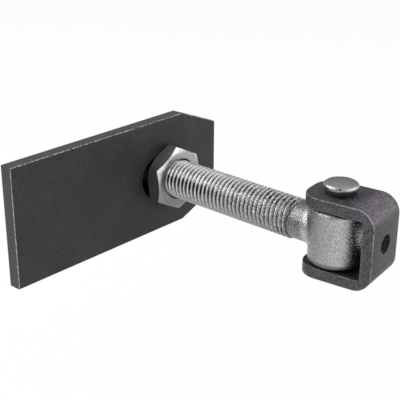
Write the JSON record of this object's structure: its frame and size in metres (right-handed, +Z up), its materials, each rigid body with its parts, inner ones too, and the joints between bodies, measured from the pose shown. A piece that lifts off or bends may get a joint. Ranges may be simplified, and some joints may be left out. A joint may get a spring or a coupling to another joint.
{
  "type": "adjustable gate hinge",
  "caption": "Weld-on gate hinge with a slotted steel plate, an adjustable threaded eye bolt held by thin nuts, and a U-bracket that swings on a pin.",
  "frame": {"origin": "middle of the mounting plate's weld end face, at mid height and mid thickness", "axes": "+X along the plate from the weld end to its nose, -Y from the plate along the eye bolt to the bracket, +Z up along the hinge pin"},
  "size_m": [0.136, 0.1545, 0.06],
  "materials": {
    "black_plate_steel": "hot-rolled steel with dark mill scale, dull and slightly mottled",
    "zinc_bolt": "zinc-plated forging, grainy on the eye and bright on the rolled thread",
    "zinc_nut": "bright zinc plating",
    "black_strap_steel": "dark satin strap steel, lightly oiled",
    "pin_steel": "turned steel, satin top and bright bevel"
  },
  "bodies": {
    "plate": {"mounting_plate": "black_plate_steel"},
    "washer": {"rear_washer": "zinc_nut"},
    "back_nut": {"rear_nut": "zinc_nut"},
    "near_nut": {"front_nut": "zinc_nut"},
    "bolt": {"eye_bolt": "zinc_bolt"},
    "bracket": {"hinge_bracket": "black_strap_steel", "hinge_pin": "pin_steel"}
  },
  "joints": [
    {"name": "lateral_shift", "type": "slide", "parent": "plate", "child": "washer", "axis": [1, 0, 0], "range_m": [-0.0075, 0.0075]},
    {"name": "bolt_slide", "type": "slide", "parent": "washer", "child": "bolt", "axis": [0, -1, 0], "range_m": [-0.07, 0.00375]},
    {"name": "rear_nut_spin", "type": "hinge", "parent": "washer", "child": "back_nut", "pos_m": [0.099, 0.011, -0.0009], "axis": [0, 1, 0], "range_deg": [-10081, 541]},
    {"name": "front_nut_spin", "type": "hinge", "parent": "washer", "child": "near_nut", "pos_m": [0.099, -0.008, -0.0009], "axis": [0, 1, 0], "range_deg": [-10081, 541]},
    {"name": "bracket_swivel", "type": "hinge", "parent": "bolt", "child": "bracket", "pos_m": [0.099, -0.1105, -0.0009], "axis": [0, 0, 1], "range_deg": [-124.8, 111.2]}
  ],
  "couplings": [
    {"joint": "rear_nut_spin", "follows": "bolt_slide", "rad_per_m": 2513.3},
    {"joint": "front_nut_spin", "follows": "bolt_slide", "rad_per_m": 2513.3}
  ]
}
